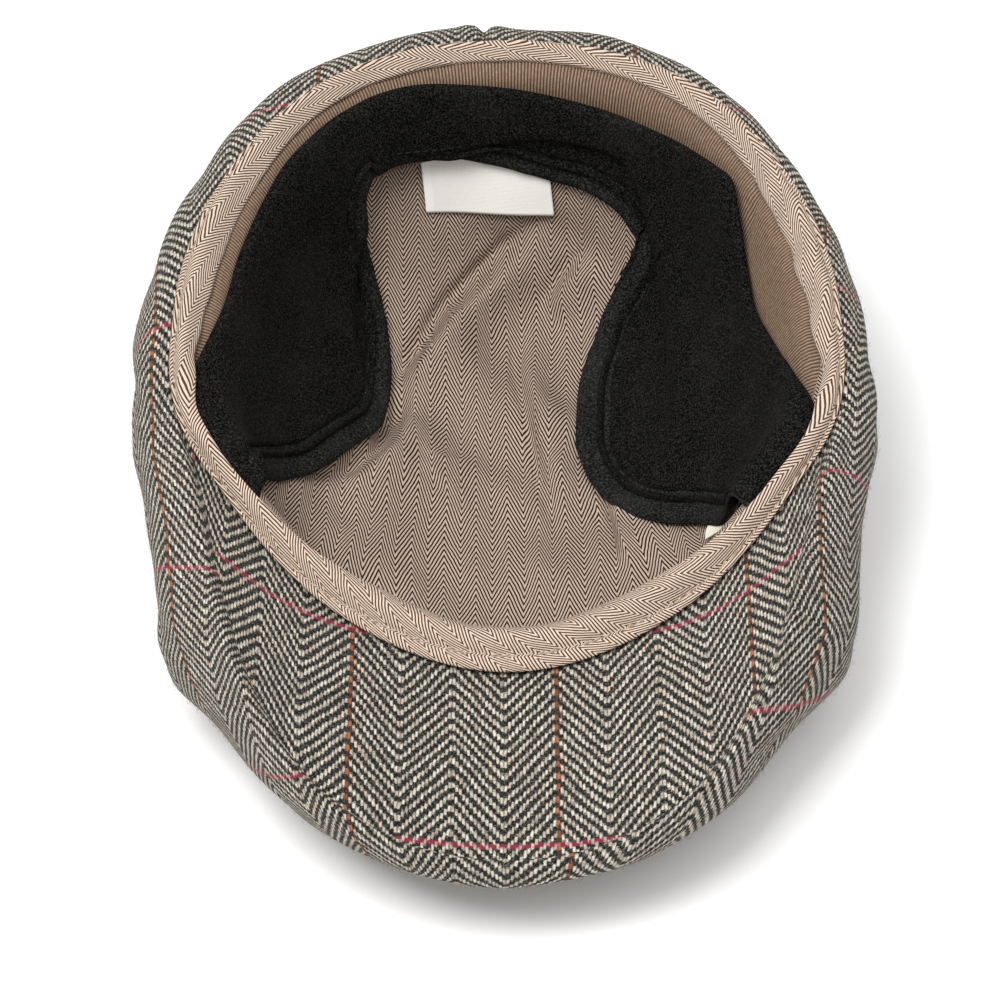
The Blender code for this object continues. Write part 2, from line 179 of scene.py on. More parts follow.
# Ear flap from the front of the -X lobe, round the back, to the front of the +X lobe.
FLAP = (
    # hung turn, hung share, free turn, free share
    (-129, 0.050, -128.0, 0.075),
    (-127, 0.050, -125.5, 0.115),
    (-124.5, 0.050, -122.7, 0.165),
    (-121, 0.052, -119.5, 0.235),
    (-117, 0.056, -115.5, 0.320),
    (-112, 0.064, -110.7, 0.420),
    (-106, 0.072, -106.5, 0.520),
    (-97, 0.105, -98.5, 0.640),
    (-86, 0.145, -72.0, 0.760),
    (-75, 0.150, -53.0, 0.780),
    (-64, 0.145, -39.5, 0.755),
    (-54, 0.130, -33.5, 0.695),
    (-45, 0.127, -32.0, 0.605),
    (-37, 0.125, -32.0, 0.510),
    (-31, 0.125, -31.5, 0.400),
    (-26, 0.125, -27.5, 0.335),
    (-17, 0.132, -17.5, 0.344),
    (-5, 0.155, -5.5, 0.386),
    (8, 0.170, 7.5, 0.431),
    (18, 0.180, 17.0, 0.450),
    (26, 0.182, 24.0, 0.482),
    (31, 0.180, 30.0, 0.540),
    (36, 0.172, 28.5, 0.610),
    (42, 0.160, 26.5, 0.670),
    (48, 0.147, 26.0, 0.740),
    (54, 0.140, 31.0, 0.815),
    (60, 0.190, 54.0, 0.872),
    (66, 0.255, 80.0, 0.880),
    (76, 0.275, 99.0, 0.855),
    (88, 0.230, 111.0, 0.812),
    (98, 0.170, 115.0, 0.755),
    (106, 0.110, 116.3, 0.690),
    (112, 0.070, 117.2, 0.620),
    (117, 0.058, 118.9, 0.550),
    (121, 0.054, 121.4, 0.450),
    (124.5, 0.050, 124.0, 0.330),
    (127.5, 0.050, 126.8, 0.200),
    (130, 0.050, 129.5, 0.090),
)

# Lower edge of the strip that lies raised over the rest of the ear flap, and the crease on its other side.
STRIP_EDGE = (
    # turn, share
    (-80, 0.95),
    (-34, 0.50),
    (-18, 0.40),
    (-11, 0.365),
    (-5, 0.338),
    (0, 0.314),
    (8, 0.298),
    (16, 0.297),
    (25, 0.310),
    (29, 0.370),
    (35, 0.485),
    (43, 0.570),
    (57, 0.635),
    (78, 0.655),
    (96, 0.700),
    (140, 0.80),
)
STRIP_CREASE = (
    # turn, share
    (50, 0.10),
    (57, 0.185),
    (67, 0.355),
    (78, 0.430),
    (92, 0.475),
    (110, 0.52),
)

# Creases of the lining: height and half width in millimetres, then turns and shares along the line.
LINING_CREASES = (
    (7.5, 6.0, ((12, 0.54), (4, 0.635), (-4, 0.695), (-13, 0.74), (-29, 0.785), (-52, 0.79))),
    (3.0, 4.5, ((20, 0.60), (15, 0.675), (10, 0.74))),
    (2.6, 4.0, ((6, 0.72), (8, 0.805), (20, 0.86), (77, 0.93), (132, 0.87))),
    (3.2, 4.0, ((92, 0.85), (115, 0.815), (134, 0.775))),
    (6.0, 6.0, ((-29, 0.785), (-49, 0.82), (-74, 0.82), (-96, 0.77), (-108, 0.65))),
    (1.6, 6.0, ((-58, 0.88), (-75, 0.90), (-95, 0.88))),
)

# Camera, at the photograph's angle
CAMERA_ELEVATION = 48.0
CAMERA_DISTANCE = 0.95
CAMERA_TARGET = Vector((0.0, 0.0005, 0.040))
CAMERA_FOCAL = 3.4926  # focal length over the frame's width
CAMERA_SHIFT = (-0.007, -0.045)
SENSOR = 36.0

# Light
WORLD_LIGHT = 0.64
LAMP_TARGET = Vector((0.0, 0.0, 0.04))
LAMPS = (
    # name, place, size in metres, watts
    ("key", (-0.40, -0.50, 1.38), 0.5, 16.0),
    ("overhead", (0.2, -0.5, 1.5), 0.9, 7.0),
)

MM = 1000.0


# Curves and the cap's surfaces, as in the part's source


def between(keys, values, at):
    """Smooth curve through the values at the keys; values has one row for all of at, or one for each."""
    keys = np.asarray(keys, float)
    at = np.asarray(at, float)
    i = np.clip(np.searchsorted(keys, at, side="right") - 1, 1, len(keys) - 3)
    values = np.broadcast_to(values, (*at.shape, len(keys)))
    v0, v1, v2, v3 = (np.take_along_axis(values, (i + k)[..., None], -1)[..., 0] for k in (-1, 0, 1, 2))
    k0, k1, k2, k3 = (keys[i + k] for k in (-1, 0, 1, 2))
    s = (at - k1) / (k2 - k1)
    leave = (v2 - v0) / (k2 - k0) * (k2 - k1)
    arrive = (v3 - v1) / (k3 - k1) * (k2 - k1)
    return (
        (2 * s**3 - 3 * s**2 + 1) * v1
        + (s**3 - 2 * s**2 + s) * leave
        + (3 * s**2 - 2 * s**3) * v2
        + (s**3 - s**2) * arrive
    )


def ease(start, end, at):
    """0 before start, 1 after end and level at both."""
    s = np.clip((at - start) / (end - start), 0, 1)
    return s * s * (3 - 2 * s)


def hump(at, middle, width):
    """1 at the middle, falling off to both sides."""
    return np.exp(-(((at - middle) / width) ** 2))


def humps(at, rows, start=0.0):
    """Sum of humps over a start, with a row of middle, width and height for each."""
    return sum((height * hump(at, middle, width) for middle, width, height in rows), start)


def unit(ways):
    """Directions made 1 long."""
    return ways / np.maximum(np.linalg.norm(ways, axis=-1, keepdims=True), 1e-12)


def signed_turn(turn):
    """Turn from -180 to 180."""
    return (np.asarray(turn, float) + 180) % 360 - 180


def side_turn(turn):
    """Turn from the centre back, the same on both sides."""
    return np.abs(signed_turn(turn))


def run_on(values):
    """Values with one more at each end, in line with the last two."""
    return np.concatenate([[2 * values[0] - values[1]], values, [2 * values[-1] - values[-2]]])


def columns(rows, turn):
    """Columns of a table at each turn, level across the centre back and the centre front."""
    keys, *values = np.array(rows, float).T
    at_back = keys[0] == 0
    before = -keys[1] if at_back else 2 * keys[0] - keys[1]
    keys = np.concatenate([[before], keys, [360 - keys[-2]]])
    ends = (np.concatenate([[v[1] if at_back else v[0]], v, [v[-2]]]) for v in values)
    return [between(keys, v, side_turn(turn)) for v in ends]


def place(turn, reach, height):
    """Point at a turn, at a distance from the opening's axis and at a height."""
    angle = np.radians(turn)
    return np.stack([reach * np.sin(angle), reach * np.cos(angle), height + 0 * angle], -1)


def seam(turn):
    """Seam around the opening, where the tweed meets the headband: reach and height."""
    reach, lift = columns(SEAM, turn)
    return reach * HEAD_HALF_WIDTH, RIM_HEIGHT - RIM_DROP + lift * RIM_DROP


def peak_edge(turn):
    """Edge of the peak's underside: reach and height."""
    out, lift = columns(PEAK_EDGE, turn)
    return seam(turn)[0] + out * PEAK_LENGTH, RIM_HEIGHT - RIM_DROP + lift * RIM_DROP


def front_share(turn):
    """0 where the crown's edge follows the opening, 1 where it follows the peak's edge."""
    return ease(PEAK_START, PEAK_START + CORNER_RUN, side_turn(turn))


def crown_edge(turn):
    """Edge of the crown's cloth: under the headband's edge, and in front around the peak's edge."""
    reach, height = seam(turn)
    height = height + UNDER_BAND
    front_reach, front_height = peak_edge(turn)
    front = front_share(turn)
    return place(turn, reach + front * (front_reach - reach), height + front * (front_height - height))


def outwards(turn):
    """Level direction straight out of the crown's edge."""
    along = crown_edge(turn + TURN_STEP) - crown_edge(turn - TURN_STEP)
    return unit(np.stack([-along[..., 1], along[..., 0], 0 * along[..., 0]], -1))


def flat_edge(turn):
    """Edge of the flat that the cap lies on."""
    angle = np.radians(turn)
    x = FLAT_HALF_WIDTH * np.sin(angle)
    y = FLAT_HALF_LENGTH * np.cos(angle) - FLAT_FORWARD
    return np.stack([x, y, 0 * x], -1)


def crown_face(turn, share, slim=0.0):
    """Outer face of the crown between its edge, at share 0, and its flat, at share 1."""
    edge, flat, out = crown_edge(turn), flat_edge(turn), outwards(turn)
    swell, drop, foot = columns(CROWN_RIB, turn)
    upper = edge + out * (swell * (1 - slim) * CROWN_FULLNESS)[..., None]
    upper[..., 2] -= drop * edge[..., 2]
    lower = flat + out * (foot * (1 - slim / 3) * CROWN_FULLNESS)[..., None]
    s = np.asarray(share, float)[..., None]
    return (1 - s) ** 3 * edge + 3 * s * (1 - s) ** 2 * upper + 3 * s**2 * (1 - s) * lower + s**3 * flat


def fold_lift(x, y):
    """How far the broad folds raise the lining's floor."""
    lift = 0
    for x0, y0, x1, y1, half_width, height in np.array(FOLDS) * HEAD_HALF_WIDTH:
        dx, dy = x1 - x0, y1 - y0
        along = np.clip(((x - x0) * dx + (y - y0) * dy) / (dx * dx + dy * dy), 0, 1)
        away = np.hypot(x - x0 - along * dx, y - y0 - along * dy)
        lift = lift + height * np.exp(-((away / half_width) ** 2))
    return lift


def wall_rows(turn):
    """Reach and height of the inner wall at each of its places, at each turn."""
    reach, height = seam(turn)
    crest_in, crest_up, foot_in, foot_down, middle_in, middle_up, heel_in, heel_up = columns(WALL, turn)
    floor = CROWN_CLOTH + LINING_REST + LINING_CLOTH - UNDER_BAND + 0 * reach
    reaches = [reach, reach - crest_in * BAND_WIDTH, reach - foot_in * BAND_WIDTH]
    reaches += [reach - middle_in * HEAD_HALF_WIDTH, reach - heel_in * HEAD_HALF_WIDTH]
    reaches += [FLOOR_RING_SHARE * HEAD_HALF_WIDTH + 0 * reach, 0 * reach]
    heights = [height, height + crest_up * BAND_WIDTH, height - foot_down * BAND_WIDTH]
    heights += [floor + up * (height - floor) for up in (middle_up, heel_up)]
    heights += [floor, floor]
    reaches = np.stack([2 * reaches[0] - reaches[1], *reaches, -reaches[-2]], -1)
    heights = np.stack([2 * heights[0] - heights[1], *heights, floor], -1)
    return reaches, heights


def wall(turn, share):
    """Inner wall, as the head meets it: share 0 at the seam, 1 in the middle of the lining's floor."""
    turn, share = np.broadcast_arrays(np.asarray(turn, float), np.asarray(share, float))
    keys = (-CREST, 0, CREST, FOOT, MIDDLE, HEEL, FLOOR_RING, 1, 2 - FLOOR_RING)
    point = place(turn, *(between(keys, rows, share) for rows in wall_rows(turn)))
    point[..., 2] += ease(MIDDLE, HEEL, share) * fold_lift(point[..., 0], point[..., 1])
    return point


def layer(turn, share, depth):
    """The inner wall moved into the hollow by a depth, or out of it by a negative one."""
    turn, share, depth = np.broadcast_arrays(*(np.asarray(v, float) for v in (turn, share, depth)))
    around = wall(turn + TURN_STEP, share) - wall(turn - TURN_STEP, share)
    down = wall(turn, np.minimum(share + SHARE_STEP, 1)) - wall(turn, np.maximum(share - SHARE_STEP, 0))
    return wall(turn, share) - unit(np.cross(around, down)) * depth[..., None]


# The part's origin is under the middle of its box, whose ends are the crown's at the front and at the back.
ends = crown_face(np.array([[0.0], [180.0]]), np.linspace(0, 1, CROWN_ROWS)[None, :])[..., 1]
AXIS = np.array([0, -(ends.max() + ends.min()) / 2, 0])


# Shaping

RIPPLES = 14


def along_line(rows, turn):
    """Second column of a table at each turn."""
    keys, values = np.array(rows, float).T
    at = np.clip(turn, keys[0], keys[-1] - 1e-6)
    return between(run_on(keys), np.pad(values, 1, mode="edge"), at)


def lengths(points, axis):
    """Length along each line of a grid of points, in millimetres, from its first point."""
    steps = np.linalg.norm(np.diff(points, axis=axis), axis=-1) * MM
    pad = [(0, 0), (0, 0)]
    pad[axis] = (1, 0)
    return np.pad(np.cumsum(steps, axis=axis), pad)


def normals(points):
    """Unit normals of a grid of points, out of the cap."""
    return unit(np.cross(np.gradient(points, axis=1), np.gradient(points, axis=0)))


def inwards(points, lift):
    """Points moved into the hollow by a lift in millimetres."""
    return points - normals(points) * (lift / MM)[..., None]


def by_lengths(points):
    """Weave coordinates that are the lengths along and down a grid of points."""
    return np.stack([lengths(points, 1), lengths(points, 0)], -1)


def ripples(points, tilt, shortest, longest, seed):
    """Soft random waves, about 1 high, that run level and up by the tilt; wavelengths in millimetres."""
    x, y, z = np.moveaxis(points * MM, -1, 0)
    y = y + tilt * z
    chance = np.random.default_rng(seed)
    total = 0
    for _ in range(RIPPLES):
        number = 2 * math.pi / chance.uniform(shortest, longest)
        way = chance.uniform(0, 2 * math.pi)
        phase = chance.uniform(0, 2 * math.pi)
        total = total + np.sin(number * (x * math.cos(way) + y * math.sin(way)) + phase)
    return total * math.sqrt(2 / RIPPLES)


def crease_profile(points, line, half_width):
    """A roll along a line of points with a sharp valley on one side, tapered at its ends."""
    fine = np.linspace(0, len(line) - 1, 60)
    path = np.stack([np.interp(fine, np.arange(len(line)), line[:, k] * MM) for k in range(3)], -1)
    away = points.reshape(-1, 1, 3) * MM - path[None]
    distance = np.linalg.norm(away, axis=-1)
    nearest = distance.argmin(1)
    tangent = np.gradient(path, axis=0)[nearest]
    up = -normals(points).reshape(-1, 3)
    side = np.einsum("ij,ij->i", away[np.arange(len(nearest)), nearest], np.cross(up, tangent))
    signed = np.sign(side) * distance.min(1)
    roll = np.where(signed > 0, hump(signed, 0, half_width * 1.6), hump(signed, 0, half_width * 0.7))
    valley = 0.6 * hump(signed, -half_width * 0.95, half_width * 0.4)
    taper = ease(0, 22, nearest) * (1 - ease(42, 59, nearest))
    return ((roll - valley) * taper).reshape(points.shape[:2])


# Meshes


def put(name, data):
    """A new object in the scene."""
    thing = bpy.data.objects.new(name, data)
    bpy.context.scene.collection.objects.link(thing)
    return thing


def add_mesh(name, vertices, faces, material):
    """A mesh that rides on the part's root."""
    mesh = bpy.data.meshes.new(name)
    mesh.from_pydata((np.asarray(vertices) + AXIS).tolist(), [], faces)
    mesh.shade_smooth()
    mesh.materials.append(material)
    thing = put(name, mesh)
    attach(thing, "root")
    return thing


def at_corners(values, r, c):
    """Values of a grid at the four corners of each quad, whose first corners are at rows r and columns c."""
    return np.stack([values[r + a, c + b] for a, b in ((0, 0), (0, 1), (1, 1), (1, 0))], 1)


def cloth(name, points, weave, material, slot, thickness, side, around=False, second=None, middle=None):
    """A sheet of quads over a grid of points. Around it the last column of points is the first again.

    second holds the row at which a second weave begins, and that weave. middle closes the last row with a
    point and its weave.
    """
    lines, across = points.shape[:2]
    wide = across - 1 if around else across
    grid = np.arange(lines * wide).reshape(lines, wide)
    grid = np.concatenate([grid, grid[:, :1]], 1)
    r, c = (x.ravel() for x in np.mgrid[0 : lines - 1, 0 : across - 1])
    faces = at_corners(grid, r, c).tolist()
    uv = at_corners(weave, r, c)
    if second:
        uv = np.where((r >= second[0])[:, None, None], at_corners(second[1], r, c), uv)
        weave = second[1]
    uv = uv.reshape(-1, 2)
    vertices = points[:, :wide].reshape(-1, 3)
    if middle:
        faces += [(int(grid[-1, k]), int(grid[-1, k + 1]), len(vertices)) for k in range(wide)]
        fan = [(weave[-1, k], weave[-1, k + 1], middle[1]) for k in range(wide)]
        vertices = np.concatenate([vertices, [middle[0]]])
        uv = np.concatenate([uv, np.array(fan).reshape(-1, 2)])
    thing = add_mesh(name, vertices, faces, material)
    thing.data.uv_layers.new(name="Weave").data.foreach_set("uv", uv.astype(np.float32).ravel())
    solid = thing.modifiers.new("Cloth", "SOLIDIFY")
    solid.thickness = thickness
    solid.offset = side
    return thing


def tubes(name, starts, ends, lifts, radius, material, rings=5, sides=6):
    """Closed threads from starts to ends, bowed by lifts at their middles and narrow at both ends."""
    t = np.linspace(0, 1, rings)
    path = starts[:, None] + (ends - starts)[:, None] * t[None, :, None]
    path = path + lifts[:, None] * (4 * t * (1 - t))[None, :, None]
    tangent = np.gradient(path, axis=1)
    across = unit(np.cross(tangent, lifts[:, None]))
    other = unit(np.cross(tangent, across))
    angle = np.arange(sides) * 2 * math.pi / sides
    size = (radius * np.sqrt(np.maximum(1 - (2 * t - 1) ** 4, 0.02)))[None, :, None, None]
    ring = across[:, :, None] * np.cos(angle)[:, None] + other[:, :, None] * np.sin(angle)[:, None]
    vertices = (path[:, :, None] + ring * size).reshape(-1, 3)
    one = [
        (r * sides + k, r * sides + (k + 1) % sides, (r + 1) * sides + (k + 1) % sides, (r + 1) * sides + k)
        for r in range(rings - 1)
        for k in range(sides)
    ]
    one += [tuple(range(sides))[::-1], tuple(range((rings - 1) * sides, rings * sides))]
    faces = [tuple(n * rings * sides + v for v in face) for n in range(len(starts)) for face in one]
    return add_mesh(name, vertices, faces, material)


def at_lengths(path, values, where):
    """Values that belong to the points of a path, at lengths along it."""
    run = np.concatenate([[0], np.cumsum(np.linalg.norm(np.diff(path, axis=0), axis=-1))])
    return np.stack([np.interp(where, run, values[:, k]) for k in range(3)], -1)


def stitches(name, path, out, form, material, slant):
    """A row of stitches along a path; out is the direction out of the cloth at each of its points."""
    pitch, length, radius = form
    total = np.linalg.norm(np.diff(path, axis=0), axis=-1).sum()
    at = np.arange(pitch, total - pitch, pitch)
    middle, up = at_lengths(path, path, at), unit(at_lengths(path, out, at))
    along = unit(at_lengths(path, path, at + 1e-4) - at_lengths(path, path, at - 1e-4))
    half = unit(along + slant * np.cross(up, along)) * length / 2
    return tubes(name, middle - half, middle + half, up * radius * 0.8, radius, material)


# Materials


class Nodes:
    """Shader nodes of one material, with the weave coordinates u and v in millimetres."""

    def __init__(self, name, roughness=0.95, sheen=0.0, sheen_tint=(1, 1, 1), specular=0.2):
        self.material = bpy.data.materials.new(name)
        self.material.use_nodes = True
        self.tree = self.material.node_tree
        self.shader = self.tree.nodes["Principled BSDF"]
        looks = {
            "Roughness": roughness,
            "Specular IOR Level": specular,
            "Sheen Weight": sheen,
            "Sheen Roughness": 0.4,
            "Sheen Tint": (*sheen_tint, 1),
        }
        for key, number in looks.items():
            self.shader.inputs[key].default_value = number
        weave = self.node("UVMap")
        weave.uv_map = "Weave"
        self.weave = weave.outputs["UV"]
        parts = self.node("SeparateXYZ")
        self.link(self.weave, parts.inputs[0])
        self.u, self.v = parts.outputs[0], parts.outputs[1]

    def node(self, kind):
        return self.tree.nodes.new("ShaderNode" + kind)

    def link(self, value, socket):
        if isinstance(value, bpy.types.NodeSocket):
            self.tree.links.new(value, socket)
        elif isinstance(value, tuple):
            socket.default_value = (*value, 1) if len(socket.default_value) == 4 else value
        else:
            socket.default_value = value

    def math(self, operation, *values):
        node = self.node("Math")
        node.operation = operation
        for value, socket in zip(values, node.inputs):
            self.link(value, socket)
        return node.outputs[0]

    def add(self, a, b):
        return self.math("ADD", a, b)

    def less(self, a, b):
        return self.math("SUBTRACT", a, b)

    def times(self, a, b):
        return self.math("MULTIPLY", a, b)

    def number(self, value, pitch):
        """How many whole pitches go into the value."""
        return self.math("FLOOR", self.math("DIVIDE", value, pitch))

    def within(self, value, pitch):
        """Place of the value in its pitch, from 0 to 1."""
        return self.math("FRACT", self.math("DIVIDE", value, pitch))

    def off_middle(self, share):
        """How far a share lies from a half, on either side."""
        return self.math("ABSOLUTE", self.less(share, 0.5))

    def ramp(self, value, low, high, to_low=0.0, to_high=1.0):
        node = self.node("MapRange")
        node.interpolation_type = "SMOOTHSTEP"
        for at, number in zip(node.inputs, (value, low, high, to_low, to_high)):
            self.link(number, at)
        return node.outputs[0]

    def mix(self, factor, a, b):
        node = self.node("Mix")
        node.data_type = "RGBA"
        self.link(factor, node.inputs[0])
        self.link(a, node.inputs[6])
        self.link(b, node.inputs[7])
        return node.outputs[2]

    def noise(self, scale, detail=2.0, roughness=0.5, stretch=(1, 1, 1)):
        node = self.node("TexNoise")
        for key, number in (("Scale", scale), ("Detail", detail), ("Roughness", roughness)):
            node.inputs[key].default_value = number
        scaled = self.node("VectorMath")
        scaled.operation = "MULTIPLY"
        self.link(self.weave, scaled.inputs[0])
        scaled.inputs[1].default_value = stretch
        self.link(scaled.outputs[0], node.inputs["Vector"])
        return node.outputs[0]

    def stray(self, value, noise, amount):
        """The value moved to and fro by a noise."""
        return self.add(value, self.times(self.less(noise, 0.5), amount))

    def wander(self, value, scale, amount):
        """The value moved to and fro by a soft noise of its own."""
        return self.stray(value, self.noise(scale, 1.0), amount)

    def chance(self, a, b):
        """Random number from 0 to 1 for each pair of whole numbers."""
        joined = self.node("CombineXYZ")
        self.link(a, joined.inputs[0])
        self.link(b, joined.inputs[1])
        node = self.node("TexWhiteNoise")
        node.noise_dimensions = "2D"
        self.link(joined.outputs[0], node.inputs["Vector"])
        return node.outputs["Value"]

    def finish(self, colour, height=None, distance=0.0003, strength=1.0):
        self.link(colour, self.shader.inputs["Base Color"])
        if height is not None:
            bump = self.node("Bump")
            bump.inputs["Strength"].default_value = strength
            bump.inputs["Distance"].default_value = distance
            self.link(height, bump.inputs["Height"])
            self.link(bump.outputs[0], self.shader.inputs["Normal"])
        return self.material


def scaled(colour, factor):
    """A colour made brighter or darker by a factor."""
    return tuple(factor * x for x in colour)


# Tweed, in millimetres
TWEED_COLUMN = 13.2
TWEED_END = TWEED_COLUMN / 14
TWEED_PITCH = 3.8
TWEED_SLOPE = TWEED_PITCH / 3.15 / TWEED_END  # a pitch down in 3.15 ends
TWEED_LEAN = 0.9  # ends that a dash leans over, for each pitch
CHECK_COLUMNS = 4


def herringbone(n, v, hair):
    """Middle of the end at each place, a random tone for each dash, and a mask of the cream dashes."""
    straight = n.wander(n.wander(n.u, 0.10, 1.2), 0.9, 0.35)
    level = n.add(v, n.times(n.math("PINGPONG", straight, TWEED_COLUMN), TWEED_SLOPE))
    rising = n.math("FLOORED_MODULO", n.number(straight, TWEED_COLUMN), 2.0)
    lean = n.times(n.less(rising, 0.35), TWEED_LEAN * TWEED_END)
    u = n.less(straight, n.times(n.less(n.within(level, TWEED_PITCH), 0.5), lean))
    end = n.number(u, TWEED_END)
    middle = n.times(n.add(end, 0.5), TWEED_END)
    level = n.add(v, n.times(n.math("PINGPONG", middle, TWEED_COLUMN), TWEED_SLOPE))
    tone = n.chance(end, n.number(level, TWEED_PITCH))
    fray = n.less(n.noise(1.1, 4.0, 0.8), 0.5)
    dash = n.ramp(n.off_middle(n.less(n.within(level, TWEED_PITCH), fray)), 0.19, 0.32, 1.0, 0.0)
    yarn = n.ramp(n.stray(n.off_middle(n.within(u, TWEED_END)), hair, 1.1), 0.26, 0.56, 1.0, 0.25)
    return middle, tone, n.times(dash, yarn)


def overchecked(n, cream, dark, orange, crimson, tone, hair):
    """The cream and the dark wool where the orange and the crimson lines cross them."""
    cream = n.mix(orange, cream, n.mix(tone, (0.22, 0.06, 0.025), (0.50, 0.17, 0.07)))
    dark = n.mix(n.times(orange, 0.3), dark, (0.12, 0.030, 0.018))
    dark = n.mix(crimson, dark, n.mix(hair, (0.12, 0.008, 0.022), (0.34, 0.045, 0.085)))
    cream = n.mix(n.times(crimson, 0.35), cream, (0.45, 0.10, 0.14))
    return cream, dark


def tweed(name, crimson_at, crimson_every):
    """Wool herringbone: cream ends over charcoal picks, with an orange and crimson overcheck."""
    n = Nodes(name, sheen=0.06, sheen_tint=(0.8, 0.78, 0.74), specular=0.1)
    v = n.wander(n.wander(n.v, 0.13, 1.3), 0.8, 0.5)
    hair = n.noise(1.7, 5.0, 0.85, stretch=(1, 0.7, 1))
    middle, tone, mask = herringbone(n, v, hair)
    cream = n.mix(n.ramp(tone, 0.0, 1.0), (0.36, 0.295, 0.225), (0.68, 0.62, 0.51))
    cream = n.mix(n.ramp(tone, 0.90, 0.96), cream, (0.58, 0.41, 0.30))
    cream = n.mix(n.ramp(hair, 0.46, 0.64, 0.0, 0.75), cream, (0.95, 0.92, 0.84))
    cream = n.mix(n.ramp(hair, 0.36, 0.47, 0.65, 0.0), cream, (0.13, 0.115, 0.095))
    dark = n.mix(n.ramp(hair, 0.48, 0.66), (0.0050, 0.0060, 0.0055), (0.15, 0.152, 0.135))
    line = n.math("FLOORED_MODULO", middle, CHECK_COLUMNS * TWEED_COLUMN)
    orange = n.ramp(line, TWEED_END, TWEED_END + 0.02, 1.0, 0.0)
    row = n.math("PINGPONG", n.less(v, crimson_at), crimson_every / 2)
    crimson = n.ramp(row, 0.55, 1.0, 1.0, 0.0)
    cream, dark = overchecked(n, cream, dark, orange, crimson, tone, hair)
    fuzz = n.ramp(n.noise(0.9, 6.0, 0.8), 0.50, 0.80, 0.0, 0.35)
    colour = n.mix(fuzz, n.mix(mask, dark, cream), (0.25, 0.24, 0.22))
    return n.finish(colour, n.add(n.times(mask, 0.7), n.times(hair, 0.9)), distance=0.0004)


# Herringbone cotton, in millimetres
COTTON_COLUMN = 4.3
COTTON_PITCH = 2.25
COTTON_SLOPE = 2.4


def cotton(name, light, dark):
    """Fine herringbone cotton in two colours."""
    n = Nodes(name, roughness=0.85, sheen=0.04)
    u = n.wander(n.wander(n.u, 0.07, 0.6), 0.5, 0.12)
    v = n.wander(n.v, 0.3, 0.7)
    zigzag = n.times(n.math("PINGPONG", u, COTTON_COLUMN), COTTON_SLOPE)
    line = n.ramp(n.off_middle(n.within(n.add(v, zigzag), COTTON_PITCH)), 0.19, 0.28, 1.0, 0.0)
    patches = n.noise(0.8, 4.0, 0.65)
    slub = n.noise(2.2, 3.0, 0.6, stretch=(1, 0.4, 1))
    light = n.mix(n.ramp(patches, 0.3, 0.7), light, scaled(light, 0.84))
    dark = n.mix(n.ramp(slub, 0.40, 0.72), dark, scaled(dark, 2.0))
    height = n.add(n.less(1.0, line), n.times(slub, 0.5))
    return n.finish(n.mix(line, light, dark), height, distance=0.00012, strength=0.6)


RIB_PITCH = 0.9


def grosgrain(name):
    """Ribbed ribbon: painted shade between its ribs, with a fine weave over them."""
    n = Nodes(name, roughness=0.7, sheen=0.05)
    across = n.off_middle(n.within(n.u, RIB_PITCH))
    fine = n.noise(2.5, 3.0, 0.6, stretch=(1, 0.25, 1))
    warm = n.noise(0.35, 3.0, 0.6)
    rib = n.mix(n.ramp(fine, 0.25, 0.75), (0.20, 0.135, 0.088), (0.36, 0.26, 0.18))
    rib = n.mix(n.ramp(warm, 0.45, 0.75, 0.0, 0.35), rib, (0.30, 0.155, 0.095))
    # painted shade: the colour falls to near black in the grooves between the ribs, standing in for the
    # shade that the shallow ribs cast
    colour = n.mix(n.ramp(across, 0.12, 0.42, 0.0, 0.95), rib, (0.060, 0.030, 0.020))
    weft = n.math("SINE", n.times(n.v, 2 * math.pi / 0.45))
    height = n.add(n.times(weft, 0.3), fine)
    return n.finish(colour, height, distance=0.00006, strength=0.5)


def felt(name, base, light, scale, depth):
    """Pressed wool, finer or coarser by the scale of its grain."""
    n = Nodes(name, roughness=1.0, sheen=0.02, sheen_tint=(0.6, 0.6, 0.58), specular=0.03)
    n.weave = n.node("TexCoord").outputs["Object"]
    fine = n.noise(scale * MM, 3.0, 0.9)
    clouds = n.noise(60.0, 3.0, 0.55)
    colour = n.mix(n.ramp(fine, 0.45, 0.66), base, light)
    colour = n.mix(n.ramp(clouds, 0.45, 0.75, 0.0, 0.15), colour, light)
    return n.finish(colour, fine, distance=depth)


def satin(name, field, border, size, left, edge):
    """Woven satin with a brighter strip on its left and a narrow border on its right and its foot."""
    n = Nodes(name, roughness=0.5, sheen=0.05)
    fine = n.noise(3.0, stretch=(0.3, 1, 1))
    wide = n.times(n.ramp(n.u, left - 0.15, left + 0.15), n.ramp(n.u, size[0] - edge, size[0] - edge - 0.2))
    inside = n.times(wide, n.ramp(n.v, size[1] - edge, size[1] - edge - 0.2))
    tone = n.mix(n.ramp(fine, 0.3, 0.7), field, scaled(field, 0.95))
    height = n.add(n.math("SINE", n.times(n.v, 2 * math.pi / 0.5)), fine)
    return n.finish(n.mix(inside, border, tone), height, distance=0.00003, strength=0.4)


def thread(name, colour, roughness=0.9):
    """Sewing thread, a little uneven in colour."""
    n = Nodes(name, roughness, sheen=0.1)
    uneven = n.node("TexNoise")
    uneven.inputs["Scale"].default_value = 900.0
    n.link(n.node("TexCoord").outputs["Object"], uneven.inputs["Vector"])
    return n.finish(n.mix(uneven.outputs[0], colour, scaled(colour, 0.6)))


# Crown and peak

WELT_WIDTH = 0.0032
WELT_HEIGHT = 0.0018
WELT_SINK = 0.0014
SIDE_ROWS = 46
SIDE_SEAM_ROW = 28
BACK_SEAM = -3.6  # turn
BACK_SEAM_FORM = ((0, 1.2, -1.5), (-4.0, 2.6, 0.8), (4.0, 2.6, 0.6))  # middle, width, height
FIBRES = 9000
FIBRE_RADIUS = 0.00005
FIBRE_LENGTH = (0.0006, 0.0022)
SIDE_SHEAR = 0.5  # of the weave over the sides of the crown

